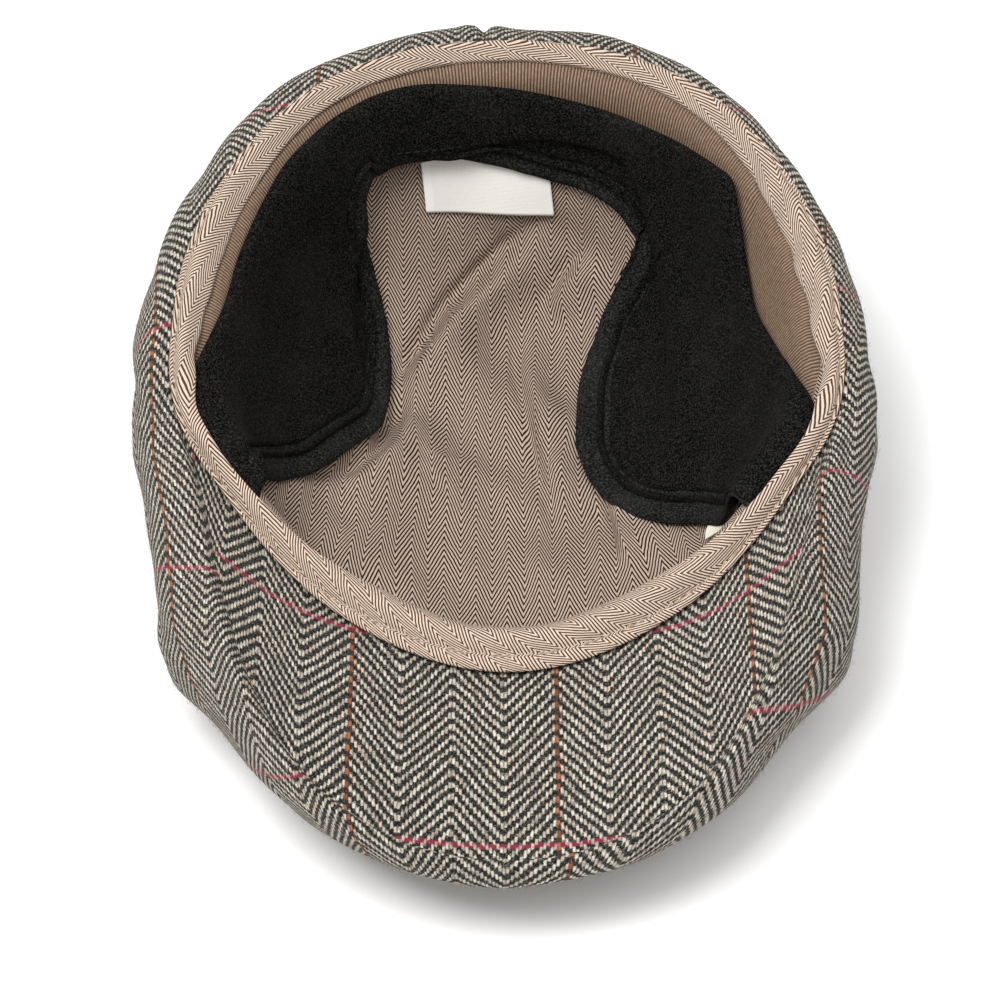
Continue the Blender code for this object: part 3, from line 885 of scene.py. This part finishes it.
# Where the crown's check begins, in millimetres, round both panels from the seam at the back.
CHECK_SHIFT = (
    # turn, columns, rows
    (-180, -12.9, -35),
    (-150, -13.5, -12),
    (-134, -16.0, 0),
    (-112, -9.8, 0),
    (-90, -10.2, 0),
    (-40, 0.9, 0),
    (-3.7, 0.9, 0),
    (-3.5, -36.0, 0),
    (60, -36.0, 0),
    (105, -26.8, -23),
    (133, -28.0, -35),
    (140, -31.0, -35),
    (180, -12.9, -35),
)


def slimness(turn):
    """The crown is a little less full behind the +X side."""
    return 0.34 * hump(signed_turn(turn), 62, 34)


def welt_height(turns):
    """How far the welt stands over the peak's edge: least at the centre front."""
    return WELT_HEIGHT * (1 - 0.6 * hump(side_turn(turns), 180, 25))


def welt_rows(turns):
    """The crown's edge rolled over the peak's edge, and tucked under the headband elsewhere."""
    edge, out, front = crown_edge(turns), outwards(turns), front_share(turns)
    reach, height = seam(turns)
    edge_reach, edge_height = peak_edge(turns)
    past = edge_reach - reach
    slope = np.clip((edge_height - height - UNDER_BAND) / np.maximum(past, 1e-4), -1, 1.2)
    width = np.minimum(WELT_WIDTH, 0.75 * front * past) + (1 - front) * 0.0015
    high = welt_height(turns)
    q = np.linspace(1, 0, 8)[:-1, None]
    rows = edge - out * (width * q)[..., None]
    rolled = high - (high + WELT_SINK) * q**2.2 - slope * width * q
    rows[..., 2] += front * rolled - (1 - front) * 0.0008 * q
    return rows


def crown_points(turns):
    """Grid of points of the crown, and the number of its rows before its edge."""
    welt = welt_rows(turns)
    share = np.linspace(0, 1, SIDE_ROWS + 1)[:, None]
    sides = crown_face(turns, share, slimness(turns))
    sides[..., 2] += front_share(turns) * welt_height(turns) * (1 - ease(0, 0.10, share))
    middle = np.array([0, -FLAT_FORWARD, 0])
    flat = middle + (flat_edge(turns) - middle) * np.linspace(1, 0, 11)[1:-1, None, None]
    return np.concatenate([welt, sides, flat]), len(welt)


def crown_relief(points, turns, down, seam_down):
    """Soft waves and the sunk seams of the crown's cloth, in millimetres."""
    z = points[..., 2] * MM
    waves = 0.35 * ripples(points, 2, 22, 60, 3) * ease(0, 12, down) * ease(0, 30, z)
    away = (signed_turn(turns) - BACK_SEAM) * math.radians(1) * seam(turns)[0] * MM
    near_back = np.abs(signed_turn(turns)) < 12
    sunk = near_back * humps(away, BACK_SEAM_FORM) * ease(-1, 1, down) * ease(0, 20, z)
    return waves + sunk - 0.6 * hump(down - seam_down, 0, 1.1)


def make_crown(material, wool):
    """The tweed from the seam, or from the peak's edge, round to the flat that the cap lies on."""
    by_seam = np.linspace(-9, 2, 45)
    turns = np.concatenate([by_seam, np.linspace(2, 351, 350)[1:]])
    points, welt = crown_points(turns)
    down = lengths(points, 0)
    down = down - down[welt]
    edge, flat, out = crown_edge(turns), flat_edge(turns), outwards(turns)
    weave = edge[None, :, :2] * MM + out[None, :, :2] * down[..., None]
    keys, *shifts = np.array(CHECK_SHIFT).T
    weave += np.stack([np.interp(signed_turn(turns), keys, shift) for shift in shifts], -1)
    sheared = ease(80, 108, side_turn(turns)) * (1 - ease(135, 170, side_turn(turns)))
    weave[..., 1] -= SIDE_SHEAR * sheared * np.maximum(down, 0)
    foot = welt + SIDE_ROWS
    second = flat[None, :, :2] * MM + out[None, :, :2] * np.maximum(down[foot] - down, 0)[..., None]
    second[foot:] = points[foot:, :, :2] * MM
    side_seam = welt + SIDE_SEAM_ROW
    points = inwards(points, -crown_relief(points, turns, down, down[side_seam]))
    middle = ((0, -FLAT_FORWARD, 0), (0, -FLAT_FORWARD * MM))
    form = (TWEED_SKIN, -1, True, (side_seam, second), middle)
    cap = cloth("crown_cloth", points, weave, material, "tweed", *form)
    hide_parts("crown")
    make_fibres(points, wool)


def make_fibres(points, material):
    """Loose ends of wool that stand up from the crown's cloth."""
    chance = np.random.default_rng(8)
    inside = points[2:-12]
    rows, wide = inside.shape[:2]
    down, around = (np.linalg.norm(np.gradient(inside, axis=k), axis=-1) for k in (0, 1))
    drawn = chance.choice(rows * wide, FIBRES, p=(down * around / (down * around).sum()).ravel())
    out = normals(inside).reshape(-1, 3)[drawn]
    stray = chance.normal(0, 0.0006, (FIBRES, 3))
    start = inside.reshape(-1, 3)[drawn] + stray - out * ((stray * out).sum(1, keepdims=True) + 0.0002)
    lean = unit(np.cross(out, chance.normal(0, 1, (FIBRES, 3))))
    way = out * chance.uniform(0.1, 0.7, (FIBRES, 1)) + lean
    long = chance.uniform(*FIBRE_LENGTH, (FIBRES, 1))
    lifts = out * long * chance.uniform(0.05, 0.3, (FIBRES, 1))
    tubes("crown_fibres", start, start + way * long, lifts, FIBRE_RADIUS, material, 3, 3)


def peak_weave(points):
    """Weave coordinates on the peak, whose cloth bends up at its sides."""
    x, y = points[..., 0] * MM, points[..., 1] * MM
    past = np.maximum(np.abs(x) - 38, 0)
    return np.stack([x - 12.4 + np.sign(x) * 0.0055 * past**2, y - 0.0085 * past**2], -1)


def make_peak(material):
    turns = np.linspace(98, 262, 261)
    reach, height = seam(turns)
    height = height + UNDER_BAND
    edge_reach, edge_height = peak_edge(turns)
    past = edge_reach - reach
    start = reach - PEAK_TUCK
    end = edge_reach - np.minimum(0.0018, 0.5 * past)
    bend = np.minimum(reach, (start + end) / 2)
    at = bend + np.linspace(0, 1, 45)[:, None] * (end - bend)
    climb = np.clip((at - reach) / np.maximum(past, 1e-6), 0, 1)
    rows = place(turns, at, height + climb * (edge_height - height))
    points = np.concatenate([place(turns, start, height)[None], rows])
    weave = peak_weave(points)
    lift = 0.25 * ripples(points, 0, 25, 60, 5)
    points[..., 2] += lift * ease(2, 14, lengths(points, 0)) / MM
    peak = cloth("peak_cloth", points, weave, material, "peak_tweed", PEAK_SKIN, -1)
    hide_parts("peak")


# Headband, lining and ribbon

# Humps and hollows of the headband, in millimetres: middle, width, height
PIPING = ((0.06, 0.055, 0.50), (0.17, 0.035, -0.45))
PUCKERS = ((108, 4, 0.9), (100, 3, -0.9), (-105, 4, 0.8), (-98, 3, -0.7))
BUNCHES = ((78, 34, 1.3), (-96, 26, 0.8), (-15, 25, 0.5))
BAND_STITCH = (0.003, 0.0021, 0.00022)  # pitch, length, radius
BAND_GROOVE = 8  # row of the stitches
BAND_ROW, RIBBON_ROW = 10, 6  # rows that lengths are taken along


def band_relief(t, turns, along):
    """Height of the headband over the wall, in millimetres, with t from its outer edge to its lower lip."""
    side = signed_turn(turns)
    full = 1.25 * (1 - 0.4 * hump(np.abs(side), 124, 16))
    roll = full * ease(0.16, 0.55, t) * (1 - ease(0.86, 1.0, t) ** 2) - 0.7 * ease(0.92, 1.0, t)
    bunch = humps(side, BUNCHES, 0.3)
    wave = np.sin(along / 5.2 + 2.5 * t + 1.7 * np.sin(along / 21))
    wave = wave + 0.7 * np.sin(along / 3.1 - 3.5 * t + 2.0 * np.sin(along / 17))
    return humps(t, PIPING) + roll + (0.34 * bunch * wave + humps(side, PUCKERS)) * ease(0.10, 0.4, t)


def make_headband(material, sewing):
    """A soft roll of cotton, rolled again at its outer edge and puckered beside the temples."""
    turns = np.linspace(0, 360, 721)
    t = np.concatenate([np.linspace(0, 0.25, 13), np.linspace(0.25, 1, 22)[1:]])[:, None]
    share = t * columns(BAND_LIP, turns)[0]
    base = layer(turns, share, 0)
    along = lengths(base, 1)[BAND_ROW]
    points = layer(turns, share, band_relief(t, turns, along) / MM)
    front = ease(125, 170, side_turn(turns))
    twist = np.radians(14 + 34 * front)
    down = lengths(base, 0) * (1.3 + 0.3 * front) + 3.0 * (t < 0.15)
    step = np.diff(along, prepend=0) * (1.3 - 0.3 * front)
    weave_u = down * np.cos(twist) - np.cumsum(step * np.sin(twist))
    weave_v = down * np.sin(twist) + np.cumsum(step * np.cos(twist))
    weave = np.stack([weave_u, weave_v], -1)
    band = cloth("headband_cloth", points, weave, material, "headband_cotton", BAND_SKIN, 1, True)
    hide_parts("headband")
    out = -normals(points)[BAND_GROOVE]
    path = points[BAND_GROOVE] + out * 0.0001
    stitches("headband_stitches", path, out, BAND_STITCH, sewing, 0.35)


def lining_weave(points, turns):
    """Weave coordinates of the lining, whose columns run to the back and to the front."""
    from_middle = points[::-1]
    reach = np.hypot(from_middle[..., 0], from_middle[..., 1]) * MM
    flat_step = np.diff(reach, axis=0, prepend=0)
    step = np.diff(lengths(from_middle, 0), axis=0, prepend=0)
    step[0] = flat_step[0]
    angle = np.radians(turns)
    straight = ease(0.45, 0.75, np.abs(np.cos(angle)))
    du = np.sin(angle) * (straight * flat_step + (1 - straight) * step)
    dv = np.sign(np.cos(angle)) * np.sqrt(np.maximum(step**2 - du**2, 0))
    return np.stack([np.cumsum(du, 0), np.cumsum(dv, 0)], -1)[::-1]


def make_lining(material):
    turns = np.linspace(0, 360, 361)
    shares = np.linspace(LINING_START, LINING_END, 116)[:, None]
    base = layer(turns, shares, UNDER_BAND)
    by_label = hump(signed_turn(turns), -4, 26) * (1 - ease(0.5, 0.62, shares))
    free = ease(0.2, 0.5, shares) * (1 - 0.95 * by_label)
    lift = (0.30 * ripples(base, 1, 14, 34, 11) + 0.9 * ripples(base, -1, 34, 60, 12)) * free
    slip = 0
    for height, half_width, line in LINING_CREASES:
        path = np.stack([layer(turn, share, UNDER_BAND) for turn, share in line])
        profile = crease_profile(base, path, half_width)
        lift = lift + height * profile
        slip = slip + profile
    points = inwards(base, lift)
    points[..., 2] = np.maximum(points[..., 2], CROWN_CLOTH + LINING_CLEAR)
    weave = 0.5 * (lining_weave(base, turns) + lining_weave(points, turns))
    weave[..., 0] += slip
    weave[..., 1] += 0.0015 * np.maximum(weave[..., 1], 0) ** 2
    middle = (points[-1].mean(0), (0, 0))
    form = (LINING_SKIN, 1, True, None, middle)
    lining = cloth("lining_cloth", points, weave, material, "lining_cotton", *form)
    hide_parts("lining")


def tucked(turn, share, start, end):
    """1 where a cloth goes under the headband beside the front, 0 from the end share on."""
    return ease(94, 106, side_turn(turn)) * (1 - ease(start, end, share))


def make_ribbon(material):
    turns = np.linspace(-RIBBON_END, RIBBON_END, 2201)
    shares = np.concatenate([[RIBBON_TOP], np.linspace(RIBBON_SHOWN, RIBBON_FOOT, 15)])[:, None]
    sunk = 2.2 * (1 - ease(RIBBON_SHOWN, 0.135, shares)) + 2.4 * tucked(turns, shares, 0.13, 0.26)
    sunk = sunk + 3.0 * ease(108, 116, side_turn(turns))
    points = layer(turns, shares, SEAM_GAP + RIBBON_CLOTH - sunk / MM)
    along = lengths(points, 1)[RIBBON_ROW] + 0 * sunk
    weave = np.stack([along, lengths(points, 0)], -1)
    soft = 0.30 * np.sin(along / 17 + 3 * shares) * ease(0.13, 0.3, shares)
    dent = -1.3 * hump(turns, 59 + 30 * (shares - 0.15), 1.8) * hump(shares, 0.16, 0.07)
    rib = 0.16 * np.cos(2 * math.pi * (along / RIB_PITCH - 0.5))
    points = inwards(points, rib + soft + dent)
    ribbon = cloth("ribbon_cloth", points, weave, material, "grosgrain", RIBBON_SKIN, 1)
    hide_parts("grosgrain_ribbon")


# Ear flap

HEM = 0.0056
UNDER = 0.0005  # how far the upper felt keeps from the free edge where no hem shows
GROOVE = 0.0028  # past the hem, on the upper felt
HEM_RIDGE = ((1.35, 0.85, 0.7), (2.8, 0.75, -2.2))  # middle, width, height in millimetres
HEM_ROLL = ((2.6, 2.0, 0.45), (0, 0.6, -0.85))
FLAP_SINK = 0.0042  # under the headband, beside the front
FLAP_STITCH = (0.0026, 0.0019, 0.0002)  # pitch, length, radius


def relief(turn, share):
    """How far the strip from the back lies over the rest of the ear flap, in millimetres."""
    edge = along_line(STRIP_EDGE, turn)
    crease = along_line(STRIP_CREASE, turn)
    raised = ease(-75, -36, turn) * (1 - ease(50, 104, turn))
    over = 1 - ease(edge - 0.016, edge + 0.012, share)
    past = ease(55, 66, turn) * (1 - ease(crease - 0.03, crease + 0.08, share))
    rounded = 0.9 * hump(share, edge - 0.06, 0.05) * ease(20, 40, turn)
    return raised * over * (2.7 * (1 - 0.75 * past) * (1 - 0.45 * hump(turn, -5, 12)) + rounded)


def flap_lines(across):
    """Turns and shares of the ear flap's hung edge and of its free edge."""
    last = len(FLAP) - 1
    keys = np.arange(-1, last + 2)
    return [between(keys, run_on(v), np.asarray(across, float) * last) for v in np.array(FLAP, float).T]


def flap_point(across, down, above):
    """Point of the ear flap, across it from the -X lobe's front and down from where it hangs."""
    hung_turn, hung_share, free_turn, free_share = flap_lines(across)
    turn = hung_turn + down * (free_turn - hung_turn)
    share = hung_share + down * (free_share - hung_share)
    over_ribbon = SEAM_GAP + RIBBON_CLOTH + LOFT
    over_lining = UNDER_BAND + LOFT + LABEL_CLOTH + LOFT
    depth = over_ribbon + ease(RIBBON_FOOT, FLAP_DOWN, share) * (over_lining - over_ribbon)
    depth = depth - FLAP_SINK * tucked(turn, share, 0.070, 0.150)
    return layer(turn, share, depth + relief(turn, share) / MM + above)


def off_edge(points):
    """Distance of points from the ear flap's free edge."""
    edge = flap_point(np.linspace(0, 1, EDGE_SAMPLES), 1.0, 0)
    found = []
    for part in np.array_split(points.reshape(-1, 3), 12):
        nearest = ((edge**2).sum(1) - 2 * part @ edge.T).argmin(1)
        ways = []
        for step in (-1, 0):
            first = np.clip(nearest + step, 0, EDGE_SAMPLES - 2)
            start, side = edge[first], edge[first + 1] - edge[first]
            along = np.clip(((part - start) * side).sum(1) / (side**2).sum(1), 0, 1)
            ways.append(np.linalg.norm(part - start - along[:, None] * side, axis=-1))
        found.append(np.minimum(*ways))
    return np.concatenate(found).reshape(points.shape[:-1])


def hem_line(off, hem):
    """How far down the ear flap the line lies that runs at the distances in hem from its free edge."""
    down = np.linspace(0, 1, DOWN_SAMPLES)
    found = []
    for clear in (off - hem).T:
        last = np.flatnonzero(np.append(True, clear[1:-1] > 0))[-1]
        found.append(np.interp(0, [clear[last + 1], clear[last]], [down[last + 1], down[last]]))
    return np.array(found)


def hem_shown(across):
    """1 where the lower felt shows past the upper one, 0 at the fold at the back and under the headband."""
    free_turn = flap_lines(across)[2]
    at_end = ease(0.04, 0.12, np.minimum(across, 1 - across))
    return at_end * (1 - ease(-31.3, -28, free_turn) * (1 - ease(-13, -1, free_turn)))


def flap_grid(across, down):
    """Turns across, points of the ear flap and their distance from its free edge, in millimetres."""
    wide = np.broadcast_to(across, down.shape)
    base = flap_point(wide, down, 0)
    return wide, base, off_edge(base) * MM


def make_upper_felt(across, groove_at, edge_at, material, sewing):
    shown = hem_shown(across)
    main = np.concatenate([[0, 0.006, 0.013, 0.022, 0.034], np.linspace(0.05, 0.94, 26), [0.96, 0.98, 1]])
    rim = np.array([0.08, 0.16, 0.28, 0.45, 0.62, 0.78, 0.88, 0.95, 1.0])
    down = np.concatenate([main[:, None] * groove_at, groove_at + rim[:, None] * (edge_at - groove_at)])
    wide, base, off = flap_grid(across, down)
    off = off - (UNDER + HEM * shown) * MM
    rounded = 0.9 * hump(off, 0, 0.45) + 2.3 * np.exp(-lengths(base, 0) / 0.6)
    above = 0.9 + humps(off, HEM_RIDGE) * shown - rounded + 0.18 * ripples(base, 1, 16, 45, 21)
    points = flap_point(wide, down, FELT + 0.0004 + above / MM)
    upper = cloth("flap_upper_felt", points, by_lengths(base), material, "upper_felt", UPPER_SKIN, 1)
    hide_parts("ear_flap_upper_felt")
    groove = len(main) - 1
    out = -normals(points)[groove]
    for side, part in (("left", across < 0.5), ("right", across > 0.5)):
        part = part & (shown > 0.9)
        path = points[groove][part] + out[part] * 0.00005
        stitches(f"flap_stitches_{side}", path, out[part], FLAP_STITCH, sewing, 0.1)


def make_lower_felt(across, edge_at, material):
    across = np.concatenate([np.linspace(0, UPPER_START, 4)[:-1], across, np.linspace(UPPER_END, 1, 4)[1:]])
    edge_at = np.pad(edge_at, 3, mode="edge") - 0.02
    past = np.concatenate([np.linspace(0, 0.8, 9)[1:], [0.87, 0.92, 0.96, 0.985, 1]])
    under = np.linspace(0.03, 1, 30)
    down = np.concatenate([under[:, None] * edge_at, edge_at + past[:, None] * (1 - edge_at)])
    wide, base, off = flap_grid(across, down)
    above = humps(off, HEM_ROLL) + 0.12 * ripples(base, 1, 5, 14, 23)
    points = flap_point(wide, down, FELT + above / MM)
    lower = cloth("flap_lower_felt", points, by_lengths(base), material, "lower_felt", LOWER_SKIN, 1)
    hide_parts("ear_flap_lower_felt")


def make_ear_flap(lower_material, upper_material, sewing):
    across = np.linspace(UPPER_START, UPPER_END, 361)
    off = off_edge(flap_point(across, np.linspace(0, 1, DOWN_SAMPLES)[:, None], 0))
    hem = UNDER + HEM * hem_shown(across)
    edge_at = np.maximum(hem_line(off, hem), 0.06)
    groove_at = np.maximum(hem_line(off, hem + GROOVE), 0.03)
    make_upper_felt(across, groove_at, edge_at, upper_material, sewing)
    make_lower_felt(across, edge_at, lower_material)


# Label and size tag

LABEL_SIZE = (40.0, 30.0)
TAG_SIZE = (10.0, 16.0)
LABEL_CORNERS = ((-17.2, 0.33), (7.4, 0.33), (-17.0, 0.507), (9.9, 0.530))
TAG_CORNERS = ((114.8, 0.41), (122.5, 0.41), (114.8, 0.543), (122.5, 0.547))


def make_patch(name, node, corners, sag, material, slot, size):
    """A woven patch on the lining, with the turn and share of its two top and its two foot corners."""
    across, down = np.meshgrid(np.linspace(0, 1, 41), np.linspace(0, 1, 31))
    top, top_end, foot, foot_end = np.array(corners)
    top = top + across[..., None] * (top_end - top)
    foot = foot + across[..., None] * (foot_end - foot)
    at = top + down[..., None] * (foot - top)
    share = at[..., 1] + sag * 4 * across * (1 - across) * down
    bow = 0.0005 * np.sin(math.pi * across) * down + 0.0003 * np.sin(7 * across + 3 * down)
    points = layer(at[..., 0], share, UNDER_BAND + LOFT + LABEL_CLOTH + bow)
    weave = np.stack([across * size[0], down * size[1]], -1)
    patch = cloth(name, points, weave, material, slot, PATCH_SKIN, 1)
    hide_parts(node)


# The stage


def make_floor():
    bpy.ops.mesh.primitive_plane_add(size=8.0)
    floor = bpy.context.object
    floor.name = "studio_floor"
    paper = Nodes("studio_paper", roughness=1.0, specular=0.0)
    floor.data.materials.append(paper.finish((0.95, 0.95, 0.95)))


def make_lights():
    world = bpy.data.worlds.new("studio")
    world.use_nodes = True
    background = world.node_tree.nodes["Background"]
    background.inputs["Color"].default_value = (1, 1, 1, 1)
    background.inputs["Strength"].default_value = WORLD_LIGHT
    bpy.context.scene.world = world
    for name, start, size, power in LAMPS:
        lamp = bpy.data.lights.new(name, "AREA")
        lamp.size = size
        lamp.energy = power
        thing = put(name, lamp)
        thing.location = start
        thing.rotation_euler = (LAMP_TARGET - Vector(start)).to_track_quat("-Z", "Y").to_euler()


def make_camera():
    camera = bpy.data.cameras.new("camera")
    camera.sensor_width = SENSOR
    camera.lens = CAMERA_FOCAL * SENSOR
    camera.shift_x, camera.shift_y = CAMERA_SHIFT
    thing = put("camera", camera)
    elevation = math.radians(CAMERA_ELEVATION)
    back = Vector((0, -math.cos(elevation), math.sin(elevation)))
    thing.location = CAMERA_TARGET + back * CAMERA_DISTANCE
    thing.rotation_mode = "QUATERNION"
    thing.rotation_quaternion = (-back).to_track_quat("-Z", "Y")
    bpy.context.scene.camera = thing


make_camera()
make_floor()
make_lights()
bpy.context.scene.view_settings.view_transform = "Standard"

beige_thread = thread("beige_thread", (0.62, 0.50, 0.38))
black_thread = thread("black_thread", (0.008, 0.008, 0.008), 0.8)
make_crown(tweed("crown_tweed", -77.0, 75.0), thread("wool", (0.46, 0.44, 0.40)))
make_peak(tweed("peak_tweed", -146.3, 66.5))
make_headband(cotton("band_cotton", (0.70, 0.555, 0.44), (0.050, 0.028, 0.018)), beige_thread)
make_lining(cotton("lining_cotton", (0.54, 0.415, 0.33), (0.011, 0.006, 0.004)))
make_ribbon(grosgrain("ribbon_grosgrain"))
make_ear_flap(
    felt("flap_fleece", (0.004, 0.004, 0.004), (0.056, 0.056, 0.053), 1.7, 0.0003),
    felt("flap_felt", (0.0006, 0.0006, 0.0006), (0.034, 0.033, 0.031), 1.9, 0.0002),
    black_thread,
)
label_satin = satin("label_satin", (0.95, 0.93, 0.87), (0.99, 0.98, 0.94), LABEL_SIZE, 2.6, 0.9)
tag_satin = satin("tag_satin", (0.95, 0.92, 0.78), (0.98, 0.96, 0.86), TAG_SIZE, 0.3, 0.3)
make_patch("label_cloth", "label", LABEL_CORNERS, 0.010, label_satin, "label_satin", LABEL_SIZE)
make_patch("size_tag_cloth", "size_tag", TAG_CORNERS, 0.0, tag_satin, "tag_satin", TAG_SIZE)
